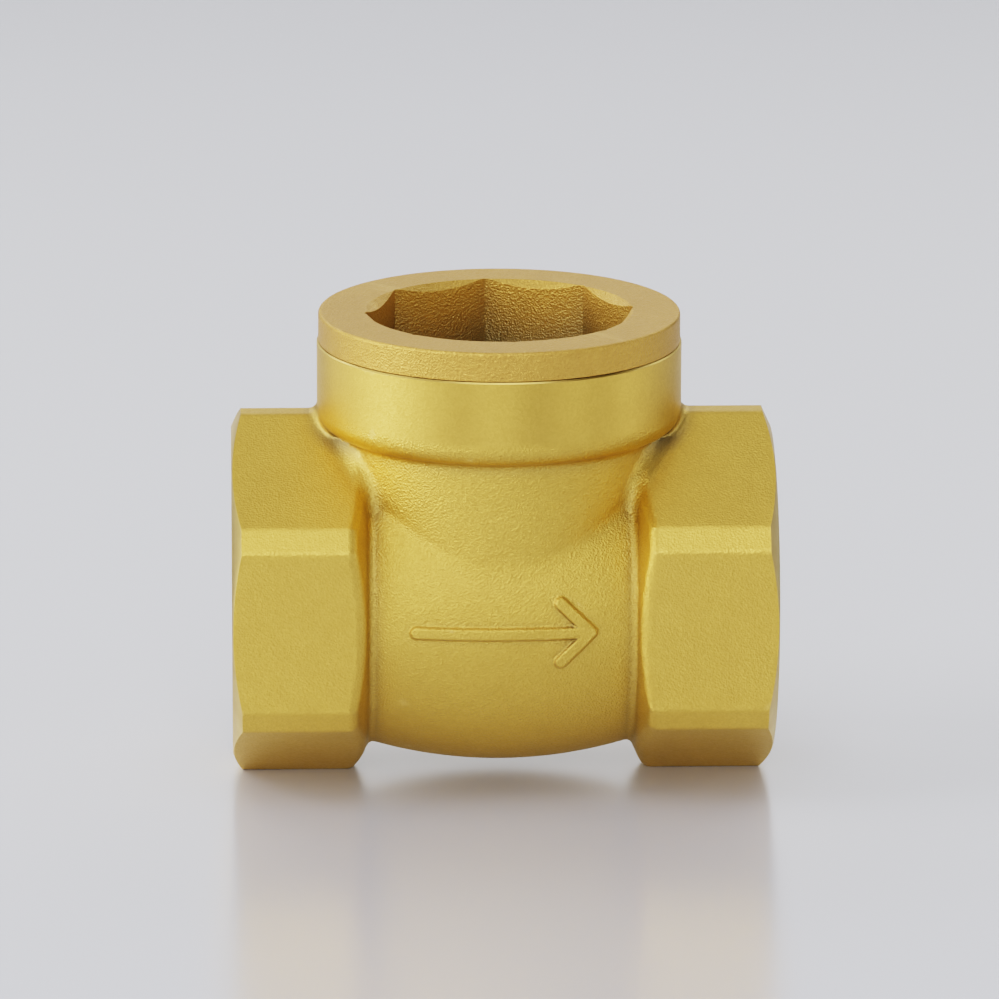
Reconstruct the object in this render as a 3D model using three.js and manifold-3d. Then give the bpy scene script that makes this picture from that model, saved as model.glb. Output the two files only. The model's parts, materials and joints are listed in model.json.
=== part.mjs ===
// A one-inch swing check valve in forged brass, in millimetres.
//
// +X is along the flow, from the inlet at -X to the outlet at +X, and +Z is up the axis of the
// neck and its screwed cap. The origin is on that axis, in the plane that the valve stands on. The
// heights below are counted from the flow axis, and the whole valve is raised onto its feet at the
// end. Inside, a clapper hangs from a loose hinge pin and closes on a seat that faces the outlet.
import * as THREE from 'three';
import { mergeVertices } from 'three/addons/utils/BufferGeometryUtils.js';
import Module from 'manifold-3d';

const wasm = await Module();
wasm.setup();

// Outside of the body
const hexFlats = 41;              // across the flats of both wrench hexagons
const hexCornerWidth = 3.2;       // width of the flat that blunts each corner
const bodyLength = 66.4;
const endFaceRadius = 20.2;       // where the chamfer of an end meets its face
const endChamferLength = 1.3;     // axial length of that chamfer, out to clearOfCorners
const clearOfCorners = 23;        // a radius just beyond the hexagon's corners
const barrelRadius = 21;          // at mid-length
const barrelBulge = 56;           // radius of the arc that the barrel's outline follows
const creaseX = 16.1;             // where the barrel meets the shoulders of the hexagons
const shoulderX = 18.3;           // where a shoulder reaches clearOfCorners
const chamberRadius = 19.75;
const neckX = -0.3;               // the neck stands a little nearer the inlet than mid-length
const neckRadius = 22.35;
const neckBottom = 21;
const neckRounding = 2.2;
const neckTop = 31.7;

// Inside of the body
const wall = 3.6;                 // barrel wall
const portThreadRadius = 15.15;   // crests of the G1 internal thread
const portMouthRadius = 17.1;
const portDepth = 14;
const inletRadius = 11.5;         // bore of the seat
const outletRadius = 12.5;
const seatX = -13.5;
const seatOuterRadius = 13.2;
const seatHeight = 1.2;           // the seat stands this far out of the cavity's end wall
const cavityEndX = 14.2;
const throatX = 15.6;             // where the cavity has narrowed to the outlet bore
const accessRadius = 16.6;        // vertical bore that the clapper is put in through
const ledgeZ = 22.3;              // floor of the neck's thread
const neckThreadRadius = 19.3;

// Flow arrow
const arrowTip = 10.6;            // from mid-length
const arrowHalfHeight = 3.7;
const arrowHalfStroke = 0.75;
const arrowHeight = 0.5;          // above the barrel

// Cap and gasket
const flangeRadius = 22.17;
const flangeBottom = 32.1;
const capTop = 35.35;
const capChamfer = 0.55;
const skirtRadius = 18.9;
const skirtBottom = 22.7;
const socketFlats = 30.6;         // across the flats of the octagonal key socket
const socketTurn = 4.3;           // degrees from +X to the first corner
const socketFloor = 26.4;
const socketRimRadius = 16.3;      // of the countersink at the top, just short of the corners
const socketChamferDepth = 0.8;
const undersideZ = 24.2;
const undersideRadius = 15.5;
const gasketInner = 19.9;
const gasketOuter = 21.7;
const restGap = 0.05;             // between parts that rest on each other

// Hinge
const hingeX = -11;
const hingeZ = 20;
const pinRadius = 1.5;
const pinHalfLength = 13.6;
const pinClearance = 0.1;
const pinEndClearance = 0.3;
const hubRadius = 3.2;
const hubHalfLength = 7.5;

// Clapper, from the seat towards the outlet
const discRadius = 13.6;
const discFrontX = -13.1;
const recessRadius = 13;
const recessX = -11.2;
const discBackX = -9.4;
const discBossRadius = 5;
const discBossX = -8.7;
const studRadius = 3;
const studEndX = 0.9;
const armX = [-8.5, -5.5];
const armBendZ = 14.2;            // above this the strap leans forward to the hub
const eyeRadius = 6.4;
const eyeClearance = 0.3;
const washerX = [-5.2, -4.2];
const washerRadius = 5.6;
const nutX = [-4.1, -1];
const nutFlats = 10;
const nutCornerRadius = 5.6;      // the corners are rounded down to this
const splitPinX = -0.35;
const splitPinRadius = 0.5;
const splitPinEyeRadius = 0.7;
const sealX = [-13.4, -11.25];
const sealRadius = [4.1, 12.9];
const retainerX = [-14.5, -13.5];
const retainerRadius = 8;
const screwHeadX = -16;
const screwHeadRadius = 3.4;
const screwRadius = 1.7;
const screwEndX = -8;
const screwSlotWidth = 0.9;
const screwSlotDepth = 0.8;

const roundSteps = 64;            // facets around a full turn
const smallRoundSteps = 24;

const brass = { color: 0xc3a64a, roughness: 0.45, metalness: 1 };
const turnedBrass = { color: 0xc9a95c, roughness: 0.35, metalness: 1 };
const steel = { color: 0xb9bcbf, roughness: 0.3, metalness: 1 };
const rubber = { color: 0x1d1d1e, roughness: 0.75, metalness: 0 };
const fibre = { color: 0x4a3a32, roughness: 0.85, metalness: 0 };

// ---- Solids ----

function solid(geometry, matrix = new THREE.Matrix4()) {
  const bare = geometry.clone().applyMatrix4(matrix);
  bare.deleteAttribute('normal');
  bare.deleteAttribute('uv');
  const merged = mergeVertices(bare);
  return new wasm.Manifold(new wasm.Mesh({
    numProp: 3,
    vertProperties: new Float32Array(merged.attributes.position.array),
    triVerts: new Uint32Array(merged.index.array),
  }));
}

function union(parts) {
  return parts.reduce((sum, part) => sum.add(part));
}

function meshOf(name, body, look) {
  const { vertProperties, triVerts } = body.getMesh();
  const geometry = new THREE.BufferGeometry();
  geometry.setAttribute('position', new THREE.BufferAttribute(vertProperties, 3));
  geometry.setIndex(new THREE.BufferAttribute(triVerts, 1));
  geometry.computeVertexNormals();
  const mesh = new THREE.Mesh(geometry, new THREE.MeshStandardMaterial({ ...look, flatShading: true }));
  mesh.name = name;
  return mesh;
}

// The lathe turns about +Y. These take its axis to +X or +Z, and leave +Y alone.
const ontoX = new THREE.Matrix4().makeRotationZ(-Math.PI / 2);
const ontoY = new THREE.Matrix4();
const ontoZ = new THREE.Matrix4().makeRotationX(Math.PI / 2);

// A solid of revolution from its half outline, a list of [place along the axis, radius].
function turned(outline, direction, steps = roundSteps) {
  const points = outline.map(([along, radius]) => new THREE.Vector2(radius, along));
  if (THREE.ShapeUtils.area(points) < 0) points.reverse();
  points.push(points[0].clone());
  return solid(new THREE.LatheGeometry(points, steps), direction);
}

function rod(from, to, radius, direction, steps = smallRoundSteps) {
  return turned([[from, 0], [from, radius], [to, radius], [to, 0]], direction, steps);
}

function ring([from, to], inner, outer, direction, steps = roundSteps) {
  return turned([[from, inner], [from, outer], [to, outer], [to, inner]], direction, steps);
}

// A straight bar whose section is a shape in the plane of two axes, drawn along the third.
const alongX = new THREE.Matrix4().makeBasis(
  new THREE.Vector3(0, 1, 0), new THREE.Vector3(0, 0, 1), new THREE.Vector3(1, 0, 0));
const alongY = new THREE.Matrix4().makeBasis(
  new THREE.Vector3(1, 0, 0), new THREE.Vector3(0, 0, 1), new THREE.Vector3(0, -1, 0));
const alongZ = new THREE.Matrix4();

function bar(shape, from, to, direction, curveSegments = 8) {
  const options = { depth: to - from, bevelEnabled: false, curveSegments };
  const geometry = new THREE.ExtrudeGeometry(shape, options).translate(0, 0, from);
  return solid(geometry, direction);
}

function polygonShape(points) {
  return new THREE.Shape(points.map(([x, y]) => new THREE.Vector2(x, y)));
}

function regularPolygon(sides, acrossFlats, firstCorner) {
  const radius = acrossFlats / 2 / Math.cos(Math.PI / sides);
  return Array.from({ length: sides }, (_, i) => {
    const angle = firstCorner + (i * 2 * Math.PI) / sides;
    return [radius * Math.cos(angle), radius * Math.sin(angle)];
  });
}

function block(x, y, z) {
  const geometry = new THREE.BoxGeometry(x[1] - x[0], y[1] - y[0], z[1] - z[0]);
  return solid(geometry.translate((x[0] + x[1]) / 2, (y[0] + y[1]) / 2, (z[0] + z[1]) / 2));
}

// ---- Body ----

// The barrel's radius at a place along the flow axis: a shallow arc, widest at mid-length.
function barrelRadiusAt(x) {
  return barrelRadius - barrelBulge + Math.sqrt(barrelBulge ** 2 - x ** 2);
}

function barrel(halfLength, extra, steps = 12) {
  const outline = [[-halfLength, 0]];
  for (let i = 0; i <= steps; i += 1) {
    const x = halfLength * (2 * i / steps - 1);
    outline.push([x, barrelRadiusAt(x) + extra]);
  }
  outline.push([halfLength, 0]);
  return turned(outline, ontoX);
}

// From the flow axis to the flats that blunt the corners: the valve stands on two of them.
function cornerFlatDistance() {
  return hexFlats / Math.sqrt(3) - hexCornerWidth / (2 * Math.sqrt(3));
}

// The wrench hexagon, standing on a corner, with every corner cut to a narrow flat.
function hexagonSection() {
  const corners = regularPolygon(6, hexFlats, Math.PI / 2);
  const side = hexFlats / Math.sqrt(3);
  const cut = hexCornerWidth / Math.sqrt(3) / side;
  const points = corners.flatMap((corner, i) => [corners[(i + 5) % 6], corners[(i + 1) % 6]]
    .map((next) => corner.map((value, axis) => value + cut * (next[axis] - value))));
  return polygonShape(points);
}

// One threaded end: the hexagon between its shoulder and the chamfer of its end face.
function hexagonEnd() {
  const endX = bodyLength / 2;
  const envelope = turned([
    [creaseX, 0],
    [creaseX, barrelRadiusAt(creaseX)],
    [shoulderX, clearOfCorners],
    [endX - endChamferLength, clearOfCorners],
    [endX, endFaceRadius],
    [endX, 0],
  ], ontoX);
  return bar(hexagonSection(), creaseX, endX, alongX).intersect(envelope);
}

function neck() {
  const outline = [[0, 0], [0, chamberRadius], [neckBottom, chamberRadius]];
  const roundingSteps = 4;
  for (let i = 0; i <= roundingSteps; i += 1) {
    const angle = (i / roundingSteps) * (Math.PI / 2);
    outline.push([
      neckBottom + neckRounding * (1 - Math.cos(angle)),
      neckRadius - neckRounding * (1 - Math.sin(angle)),
    ]);
  }
  outline.push([neckTop, neckRadius], [neckTop, 0]);
  return turned(outline, ontoZ).translate(neckX, 0, 0);
}

// The flow arrow on the front of the barrel: a shaft and a chevron, raised from its surface.
function flowArrow() {
  const slant = arrowHalfStroke * Math.SQRT2;
  const headBack = arrowTip - arrowHalfHeight;
  const shape = polygonShape([
    [-arrowTip, -arrowHalfStroke],
    [arrowTip - slant - arrowHalfStroke, -arrowHalfStroke],
    [headBack - slant, -arrowHalfHeight],
    [headBack + slant, -arrowHalfHeight],
    [arrowTip + slant, 0],
    [headBack + slant, arrowHalfHeight],
    [headBack - slant, arrowHalfHeight],
    [arrowTip - slant - arrowHalfStroke, arrowHalfStroke],
    [-arrowTip, arrowHalfStroke],
  ]);
  const reach = barrelRadius + 2 * arrowHeight;
  return bar(shape, barrelRadius / 2, reach, alongY).intersect(barrel(creaseX, arrowHeight));
}

// One port and its waterway, as the space they leave.
function port(waterwayRadius, innerX) {
  const endX = bodyLength / 2;
  const past = 1;
  const mouthDepth = portMouthRadius - portThreadRadius;
  return turned([
    [innerX, 0],
    [innerX, waterwayRadius],
    [endX - portDepth, waterwayRadius],
    [endX - portDepth, portThreadRadius],
    [endX - mouthDepth, portThreadRadius],
    [endX + past, portMouthRadius + past],
    [endX + past, 0],
  ], ontoX);
}

// The space the clapper swings in, around the flow axis. The seat stands into it as a low ring.
function cavity() {
  const wallX = seatX - seatHeight;
  const outline = [[seatX, 0], [seatX, seatOuterRadius], [wallX, seatOuterRadius]];
  const steps = 6;
  for (let i = 0; i <= steps; i += 1) {
    const x = wallX + (i / steps) * (cavityEndX - wallX);
    outline.push([x, barrelRadiusAt(x) - wall]);
  }
  outline.push([throatX, outletRadius], [throatX, 0]);
  return turned(outline, ontoX);
}

// The space above the cavity: the access bore, the two pin slots and the neck's thread.
function accessBore() {
  const wallX = seatX - seatHeight;
  const clipped = block([wallX, accessRadius], [-accessRadius, accessRadius], [0, ledgeZ + 1]);
  const bore = rod(0, ledgeZ + 1, accessRadius, ontoZ, roundSteps)
    .translate(neckX, 0, 0)
    .intersect(clipped);
  const past = 1;
  const mouth = 0.5;
  const threaded = turned([
    [ledgeZ, 0],
    [ledgeZ, neckThreadRadius],
    [neckTop - mouth, neckThreadRadius],
    [neckTop + past, neckThreadRadius + mouth + past],
    [neckTop + past, 0],
  ], ontoZ).translate(neckX, 0, 0);
  const slotRadius = pinRadius + pinClearance;
  const slotEnd = pinHalfLength + pinEndClearance;
  const slotRound = rod(-slotEnd, slotEnd, slotRadius, ontoY)
    .translate(hingeX, 0, hingeZ);
  const slotOpen = block(
    [hingeX - slotRadius, hingeX + slotRadius], [-slotEnd, slotEnd], [hingeZ, ledgeZ + 1]);
  return union([bore, threaded, slotRound, slotOpen]);
}

function valveBody() {
  const end = hexagonEnd();
  const outside = union([barrel(creaseX, 0), end, end.rotate(0, 0, 180), neck(), flowArrow()]);
  const inside = union([
    port(outletRadius, cavityEndX),
    port(inletRadius, -seatX - 1).rotate(0, 0, 180),
    cavity(),
    accessBore(),
  ]);
  return outside.subtract(inside);
}

// ---- Cap ----

function cap() {
  const blank = turned([
    [undersideZ, 0],
    [undersideZ, undersideRadius],
    [skirtBottom, undersideRadius],
    [skirtBottom, skirtRadius - capChamfer],
    [skirtBottom + capChamfer, skirtRadius],
    [flangeBottom, skirtRadius],
    [flangeBottom, flangeRadius],
    [capTop - capChamfer, flangeRadius],
    [capTop, flangeRadius - capChamfer],
    [capTop, 0],
  ], ontoZ);
  const past = 1;
  const corners = regularPolygon(8, socketFlats, THREE.MathUtils.degToRad(socketTurn));
  const socket = bar(polygonShape(corners), socketFloor, capTop + past, alongZ);
  const slope = (socketRimRadius - socketFlats / 2) / socketChamferDepth;
  const countersinkBottom = capTop - socketChamferDepth - past;
  const countersink = turned([
    [countersinkBottom, 0],
    [countersinkBottom, socketFlats / 2 - past * slope],
    [capTop + past, socketRimRadius + past * slope],
    [capTop + past, 0],
  ], ontoZ);
  return blank.subtract(socket).subtract(countersink).translate(neckX, 0, 0);
}

function capGasket() {
  return ring([neckTop + restGap, flangeBottom - restGap], gasketInner, gasketOuter, ontoZ)
    .translate(neckX, 0, 0);
}

// ---- Hinge ----

function hingePin() {
  const chamfer = 0.3;
  return turned([
    [-pinHalfLength, 0],
    [-pinHalfLength, pinRadius - chamfer],
    [-pinHalfLength + chamfer, pinRadius],
    [pinHalfLength - chamfer, pinRadius],
    [pinHalfLength, pinRadius - chamfer],
    [pinHalfLength, 0],
  ], ontoY, smallRoundSteps).translate(hingeX, 0, hingeZ);
}

// A wide hub on the pin and a strap that runs down to an eye around the disc's stud.
function hingeArm() {
  const [front, back] = armX;
  const thickness = back - front;
  const side = polygonShape([
    [front, -eyeRadius],
    [back, -eyeRadius],
    [back, armBendZ - thickness / 2],
    [hingeX + thickness, hingeZ],
    [hingeX, hingeZ],
    [hingeX + hubRadius / 6, hingeZ - hubRadius * 3 / 4],
    [front, armBendZ],
  ]);
  const outline = new THREE.Shape();
  const aboveMiddle = 0.35;         // radians that the eye's arc runs on above its middle
  const waist = hubHalfLength - 2;
  const waistZ = armBendZ - thickness;
  const flareZ = hingeZ - thickness;
  outline.absarc(0, 0, eyeRadius, Math.PI - aboveMiddle, 2 * Math.PI + aboveMiddle, false);
  outline.lineTo(waist, waistZ);
  outline.lineTo(hubHalfLength, flareZ);
  outline.lineTo(hubHalfLength, hingeZ);
  outline.lineTo(-hubHalfLength, hingeZ);
  outline.lineTo(-hubHalfLength, flareZ);
  outline.lineTo(-waist, waistZ);
  const strap = bar(side, -hubHalfLength, hubHalfLength, alongY)
    .intersect(bar(outline, hingeX, back + 1, alongX, 24));
  const hub = rod(-hubHalfLength, hubHalfLength, hubRadius, ontoY, 32)
    .translate(hingeX, 0, hingeZ);
  const pinBore = rod(-hubHalfLength - 1, hubHalfLength + 1, pinRadius + pinClearance, ontoY)
    .translate(hingeX, 0, hingeZ);
  const eye = rod(front - 1, back + 1, studRadius + eyeClearance, ontoX);
  return strap.add(hub).subtract(pinBore).subtract(eye);
}

// ---- Clapper ----

function disc() {
  const rimChamfer = 0.4;
  const studChamfer = 0.5;
  const blank = turned([
    [recessX, 0],
    [recessX, recessRadius],
    [discFrontX, recessRadius],
    [discFrontX, discRadius - rimChamfer / 2],
    [discFrontX + rimChamfer / 2, discRadius],
    [discBackX - rimChamfer, discRadius],
    [discBackX, discRadius - rimChamfer],
    [discBackX, discBossRadius],
    [discBossX, discBossRadius],
    [discBossX, studRadius],
    [studEndX - studChamfer, studRadius],
    [studEndX, studRadius - studChamfer],
    [studEndX, 0],
  ], ontoX);
  const screwHole = rod(recessX - 1, screwEndX + 1, screwRadius + pinClearance, ontoX);
  const pinHole = rod(-studRadius - 1, studRadius + 1, splitPinRadius + pinClearance, ontoZ, 16)
    .translate(splitPinX, 0, 0);
  return blank.subtract(screwHole).subtract(pinHole);
}

function discSeal() {
  return ring(sealX, sealRadius[0], sealRadius[1], ontoX);
}

function sealRetainer() {
  return ring(retainerX, screwRadius + pinClearance, retainerRadius, ontoX, 32);
}

function retainerScrew() {
  const underHead = retainerX[0] - restGap;
  const headChamfer = 0.3;
  const screw = turned([
    [screwHeadX, 0],
    [screwHeadX, screwHeadRadius - headChamfer],
    [screwHeadX + headChamfer, screwHeadRadius],
    [underHead, screwHeadRadius],
    [underHead, screwRadius],
    [screwEndX, screwRadius],
    [screwEndX, 0],
  ], ontoX, smallRoundSteps);
  const past = 1;
  const slot = block(
    [screwHeadX - past, screwHeadX + screwSlotDepth],
    [-screwHeadRadius - past, screwHeadRadius + past],
    [-screwSlotWidth / 2, screwSlotWidth / 2]);
  return screw.subtract(slot);
}

function discWasher() {
  return ring(washerX, studRadius + pinClearance, washerRadius, ontoX, 32);
}

function discNut() {
  const [front, back] = nutX;
  const chamfer = 0.5;
  const hexagon = bar(polygonShape(regularPolygon(6, nutFlats, 0)), front, back, alongX);
  const rounded = turned([
    [front, 0],
    [front, nutCornerRadius],
    [back - chamfer, nutCornerRadius],
    [back, nutFlats / 2 - 0.1],
    [back, 0],
  ], ontoX, 36);
  const bore = rod(front - 1, back + 1, studRadius + pinClearance, ontoX);
  return hexagon.intersect(rounded).subtract(bore);
}

// A split pin through the stud, with a round eye at one end.
function splitPin() {
  const eyeCentre = studRadius + splitPinEyeRadius + splitPinRadius / 2;
  const legEnd = studRadius + 1.4;
  const wireRadius = splitPinRadius * 0.8;
  const leg = rod(-legEnd, eyeCentre - splitPinEyeRadius / 2, splitPinRadius, ontoZ, 16);
  const eye = solid(
    new THREE.TorusGeometry(splitPinEyeRadius, wireRadius, 10, 20),
    new THREE.Matrix4().makeRotationY(Math.PI / 2));
  return leg.add(eye.translate(0, 0, eyeCentre)).translate(splitPinX, 0, 0);
}

const valve = new THREE.Group();
valve.position.z = cornerFlatDistance();
valve.add(
  meshOf('valve_body', valveBody(), brass),
  meshOf('cap', cap(), turnedBrass),
  meshOf('cap_gasket', capGasket(), fibre),
  meshOf('hinge_pin', hingePin(), steel),
  meshOf('hinge_arm', hingeArm(), brass),
  meshOf('disc', disc(), turnedBrass),
  meshOf('disc_seal', discSeal(), rubber),
  meshOf('seal_retainer', sealRetainer(), turnedBrass),
  meshOf('retainer_screw', retainerScrew(), steel),
  meshOf('disc_washer', discWasher(), steel),
  meshOf('disc_nut', discNut(), turnedBrass),
  meshOf('split_pin', splitPin(), steel),
);

export default valve;
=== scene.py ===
"""A forged brass swing check valve: the visible model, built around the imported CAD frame.

Cast and forged skins are implicit surfaces, turned into meshes by a surface net. Machined
features (end faces, bores, threads, sockets) are lathe outlines and helices, cut or joined with
booleans. Shapes are worked out in millimetres, in the frame's own axes: +X along the flow,
+Z up the neck, -Y the front. Blender objects are in metres.
"""
import json
import math

import bmesh
import bpy
import numpy as np
from mathutils import Matrix, Vector


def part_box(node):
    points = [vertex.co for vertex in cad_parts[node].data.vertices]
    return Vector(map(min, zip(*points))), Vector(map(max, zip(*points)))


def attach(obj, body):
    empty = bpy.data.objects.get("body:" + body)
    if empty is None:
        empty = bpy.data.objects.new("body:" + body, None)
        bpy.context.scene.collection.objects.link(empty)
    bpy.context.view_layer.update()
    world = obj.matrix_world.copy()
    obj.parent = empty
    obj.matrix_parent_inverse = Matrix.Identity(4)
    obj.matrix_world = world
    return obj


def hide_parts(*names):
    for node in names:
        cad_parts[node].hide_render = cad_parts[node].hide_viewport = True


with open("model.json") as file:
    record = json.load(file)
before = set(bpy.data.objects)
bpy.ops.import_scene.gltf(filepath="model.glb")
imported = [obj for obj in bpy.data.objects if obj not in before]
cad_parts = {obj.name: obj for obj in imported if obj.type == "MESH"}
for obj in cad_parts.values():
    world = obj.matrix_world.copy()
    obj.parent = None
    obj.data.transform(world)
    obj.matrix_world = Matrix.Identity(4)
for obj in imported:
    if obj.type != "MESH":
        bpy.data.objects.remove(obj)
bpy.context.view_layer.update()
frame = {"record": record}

MM = 0.001


# -------------------- sizes taken from the frame

def mount(name):
    """A mount's position in the frame, in metres."""
    return Vector(next(m for m in frame["record"]["mounts"] if m["name"] == name)["pos_m"])


FLOW_AXIS = Vector((0, 0, mount("inlet_face").z))


def box(node):
    """A CAD node's lowest and highest corners, in millimetres from the flow axis."""
    low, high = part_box(node)
    return (low - FLOW_AXIS) / MM, (high - FLOW_AXIS) / MM


body_low, body_high = box("valve_body")
cap_low, cap_high = box("cap")
gasket_low, gasket_high = box("cap_gasket")
pin_low, pin_high = box("hinge_pin")
arm_low, arm_high = box("hinge_arm")
disc_low, disc_high = box("disc")
seal_low, seal_high = box("disc_seal")
retainer_low, retainer_high = box("seal_retainer")
screw_low, screw_high = box("retainer_screw")
washer_low, washer_high = box("disc_washer")
nut_low, nut_high = box("disc_nut")

HALF_LENGTH = body_high.x
NECK_RADIUS = body_high.y
NECK_TOP = body_high.z
HALF_FLATS = mount("inlet_flat_back").y / MM
CORNER_FLAT = -body_low.z
FORGING_X = (cap_low.x + cap_high.x) / 2  # the forging is a little off the end faces' middle
CAP_TOP = cap_high.z
FLANGE_RADIUS = cap_high.y
GASKET_RADIUS = gasket_high.y
SKIRT_BOTTOM = cap_low.z
GASKET_GAP = 0.05
FLANGE_BOTTOM = gasket_high.z + GASKET_GAP
HINGE = (pin_low + pin_high) / 2
PIN_RADIUS = (pin_high.x - pin_low.x) / 2
PIN_CLEARANCE = 0.1
PIN_END_CLEARANCE = 0.3

# -------------------- sizes of the forging

BARREL_RADIUS = 21.0
BARREL_BULGE = 56.0  # radius of the long arc that the barrel's side follows
BARREL_OVERLAP = 3.0  # how far the barrel reaches into each hexagon
CREASE_X = 16.1  # where barrel and hexagon meet
CHAMBER_RADIUS = 19.75
NECK_BOTTOM = 21.0
NECK_ROUNDING = 2.2
SHOULDER_SLOPE = 2.25  # rise of a hexagon's inner shoulder per unit along the axis
SHOULDER_ROUNDING = 0.85
HEXAGON_ROUNDING = 0.16
END_FACE_RADIUS = 20.2
END_CHAMFER_SLOPE = 2.8 / 1.3  # rise of the chamfer round an end face, in the same way
NECK_CHAMFER = 0.18
WALL = 3.6

CREASE_FILLET = 0.7  # hexagon and barrel
SHOULDER_FILLET = 2.4  # hexagon and chamber
CHAMBER_FILLET = 0.5  # chamber and barrel
NECK_FILLET = 1.0  # neck and chamber
NECK_SIDE_FILLET = 1.2  # neck and hexagon

FORGING_CELL = 0.45  # grid of the forging's surface net
PAST = 1.0  # how far a cutting tool, or a skin still to be cut, passes a face


# -------------------- implicit surfaces

def round_union(a, b, radius):
    """The union of two distance fields, with a fillet where they meet."""
    u = np.maximum(radius - a, 0)
    v = np.maximum(radius - b, 0)
    return np.maximum(radius, np.minimum(a, b)) - np.hypot(u, v)


def round_intersection(a, b, radius):
    """The intersection of two distance fields, with a rounded edge."""
    return -round_union(-a, -b, radius)


def barrel_radius(x):
    """The barrel's radius at a place along the flow axis: a shallow arc."""
    return BARREL_RADIUS - BARREL_BULGE + np.sqrt(BARREL_BULGE ** 2 - x ** 2)


def barrel_field(x, y, z):
    arc_centre = BARREL_RADIUS - BARREL_BULGE
    curved = np.hypot(x, np.hypot(y, z) - arc_centre) - BARREL_BULGE
    return np.maximum(curved, np.abs(x) - CREASE_X - BARREL_OVERLAP)


def hexagon_field(x, y, z):
    """Both wrench hexagons: six flats, six narrow corner flats and the inner shoulder."""
    flats = corners = np.full_like(x, -HALF_LENGTH)
    for k in range(6):
        angle = math.radians(60 * k)
        flats = np.maximum(flats, y * math.cos(angle) + z * math.sin(angle) - HALF_FLATS)
        angle += math.radians(30)
        corners = np.maximum(corners, y * math.cos(angle) + z * math.sin(angle) - CORNER_FLAT)
    section = round_intersection(flats, corners, HEXAGON_ROUNDING)
    rise = math.hypot(1, SHOULDER_SLOPE)
    crease_radius = barrel_radius(CREASE_X)
    shoulder = (np.hypot(y, z) - crease_radius - SHOULDER_SLOPE * (np.abs(x) - CREASE_X)) / rise
    ends = np.abs(x) - HALF_LENGTH - PAST
    return np.maximum(round_intersection(section, shoulder, SHOULDER_ROUNDING), ends)


def chamber_field(x, y, z):
    return np.maximum(np.hypot(x, y) - CHAMBER_RADIUS, np.maximum(-z, z - NECK_TOP))


def neck_field(x, y, z):
    side = np.hypot(x, y) - NECK_RADIUS
    bottom = round_intersection(side, NECK_BOTTOM - z, NECK_ROUNDING)
    return np.maximum(bottom, z - NECK_TOP - PAST)


def segment_distance(x, z, start, end):
    """Distance in the XZ plane from the segment between two points."""
    along = (end[0] - start[0], end[1] - start[1])
    length_squared = along[0] ** 2 + along[1] ** 2
    t = ((x - start[0]) * along[0] + (z - start[1]) * along[1]) / length_squared
    t = np.clip(t, 0, 1)
    return np.hypot(x - start[0] - t * along[0], z - start[1] - t * along[1])


ARROW_TIP = 10.6
ARROW_HALF_HEIGHT = 3.7
ARROW_HALF_STROKE = 0.75
ARROW_HEIGHT = 0.5
ARROW_ROUNDING = 0.35
ARROW_FILLET = 0.3
ARROW_MARGIN = 1.0  # the mesh is finer this far around the strokes


def arrow_distance(x, z):
    """Distance in the XZ plane from the middle lines of the arrow's three strokes."""
    tip = (ARROW_TIP, 0)
    distance = segment_distance(x, z, (-ARROW_TIP, 0), tip)
    for side in (-1, 1):
        back = (ARROW_TIP - ARROW_HALF_HEIGHT, side * ARROW_HALF_HEIGHT)
        distance = np.minimum(distance, segment_distance(x, z, back, tip))
    return distance


def arrow_field(x, y, z):
    """The raised flow arrow on the front of the barrel, drawn with round strokes."""
    stroke = arrow_distance(x, z) - ARROW_HALF_STROKE
    raised = round_intersection(stroke, barrel_field(x, y, z) - ARROW_HEIGHT, ARROW_ROUNDING)
    return np.maximum(raised, y + BARREL_RADIUS / 2)


def near_arrow(x, y, z):
    return (arrow_distance(x - FORGING_X, z) < ARROW_HALF_STROKE + ARROW_MARGIN) & (y < 0)


def forging_field(x, y, z):
    """The whole forged skin, before anything is machined."""
    x = x - FORGING_X
    hexagons = hexagon_field(x, y, z)
    barrel = barrel_field(x, y, z)
    chamber = chamber_field(x, y, z)
    neck = neck_field(x, y, z)
    field = round_union(hexagons, barrel, CREASE_FILLET)
    for pair in (
        round_union(hexagons, chamber, SHOULDER_FILLET),
        round_union(chamber, barrel, CHAMBER_FILLET),
        round_union(neck, chamber, NECK_FILLET),
        round_union(neck, hexagons, NECK_SIDE_FILLET),
    ):
        field = np.minimum(field, pair)
    return round_union(field, arrow_field(x, y, z), ARROW_FILLET)


def gradient(field, points):
    """How steeply a field rises along each axis, at many points."""
    step = 0.02
    slopes = [field(*(points + axis).T) - field(*(points - axis).T) for axis in np.eye(3) * step]
    return np.stack(slopes, axis=1) / (2 * step)


def unit(vectors):
    length = np.linalg.norm(vectors, axis=1, keepdims=True)
    return vectors / np.maximum(length, 1e-9)


def onto_surface(field, points, rounds=3):
    """Moves points along the field's gradient until they lie on its surface."""
    least = 0.05
    for _ in range(rounds):
        slope = gradient(field, points)
        steepness = np.maximum((slope ** 2).sum(axis=1, keepdims=True), least)
        points = points - field(*points.T)[:, None] * slope / steepness
    return points


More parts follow.
